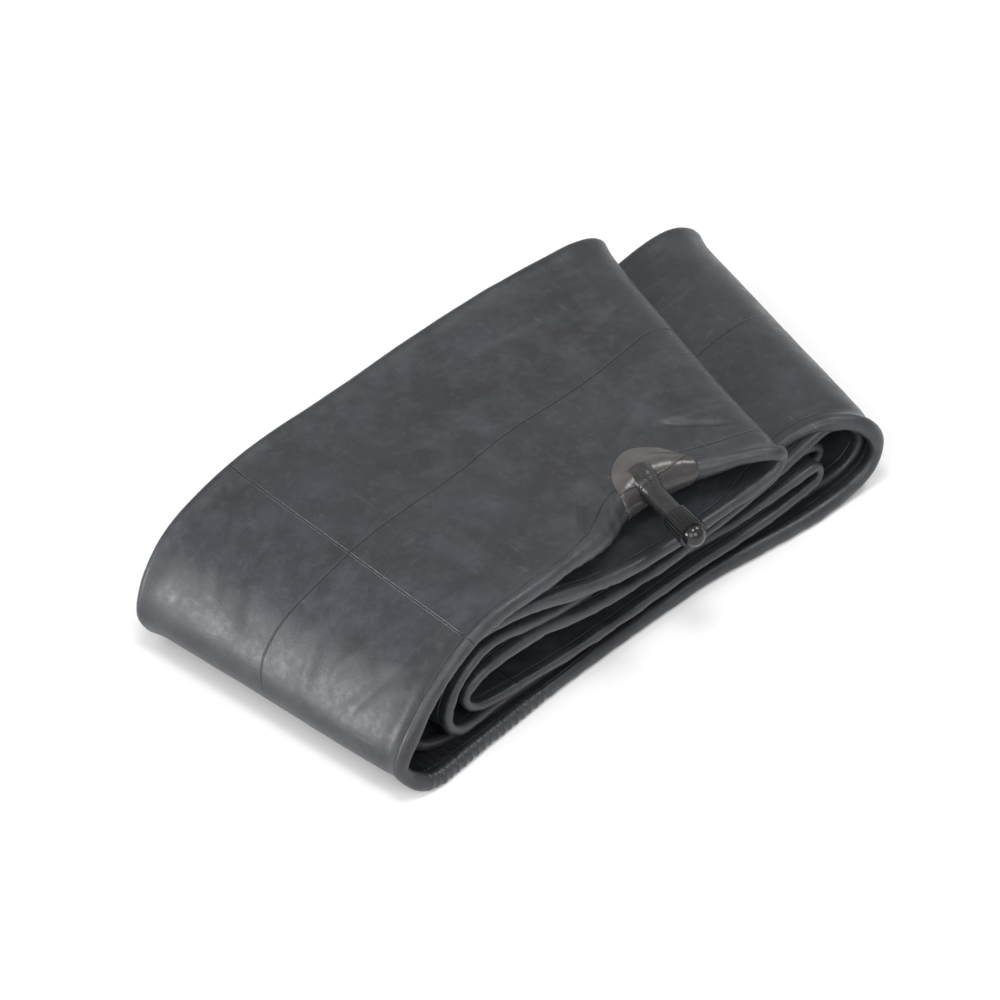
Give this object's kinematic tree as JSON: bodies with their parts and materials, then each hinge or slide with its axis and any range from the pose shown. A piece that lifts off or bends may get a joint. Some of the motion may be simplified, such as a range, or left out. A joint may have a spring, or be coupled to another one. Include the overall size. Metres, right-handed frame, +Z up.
{
  "type": "bicycle inner tube",
  "caption": "Folded wide bicycle inner tube, rolled flat, with a rubber-covered valve stem, a sprung valve core and a fluted screw-on cap.",
  "frame": {"origin": "middle of the resting face, on the surface that the roll lies on", "axes": "+Z up; +X along the roll, from the outer left fold to the outer right fold; -Y towards the band's front edge, where the valve stands out"},
  "size_m": [0.2954, 0.1487, 0.0598],
  "materials": {
    "tube_rubber": "satin",
    "patch_rubber": "gloss",
    "stem_cover_rubber": "satin",
    "valve_brass": "satin",
    "core_brass": "polished",
    "gasket": "matte",
    "spring_steel": "polished",
    "seal_rubber": "matte",
    "cap_plastic": "gloss"
  },
  "bodies": {
    "tube_body": {"tube": "tube_rubber", "valve_patch": "patch_rubber", "stem_rubber": "stem_cover_rubber", "stem_body": "valve_brass", "core_plug": "core_brass", "core_barrel": "core_brass", "barrel_gasket": "gasket", "core_spring": "spring_steel"},
    "pin": {"core_pin": "core_brass", "spring_cup": "core_brass", "poppet_cup": "core_brass", "poppet_seal": "seal_rubber"},
    "washer": {"cap_washer": "seal_rubber"},
    "cap": {"valve_cap": "cap_plastic"}
  },
  "joints": [
    {"name": "pin_press", "type": "slide", "parent": "tube_body", "child": "pin", "axis": [0.2582, 0.9661, -0.0081], "range_m": [0, 0.0012], "stiffness_N_per_m": 1500, "springref_m": -0.001, "deforming": ["core_spring"]},
    {"name": "cap_lift", "type": "slide", "parent": "tube_body", "child": "washer", "axis": [-0.2582, -0.9661, 0.0081], "range_m": [0, 0.016]},
    {"name": "cap_turn", "type": "hinge", "parent": "washer", "child": "cap", "pos_m": [0.00726, -0.07548, 0.04929], "axis": [-0.2582, -0.9661, 0.0081], "range_deg": [0, 7255.4]}
  ],
  "couplings": [
    {"joint": "cap_turn", "follows": "cap_lift", "rad_per_m": 7913.3}
  ]
}
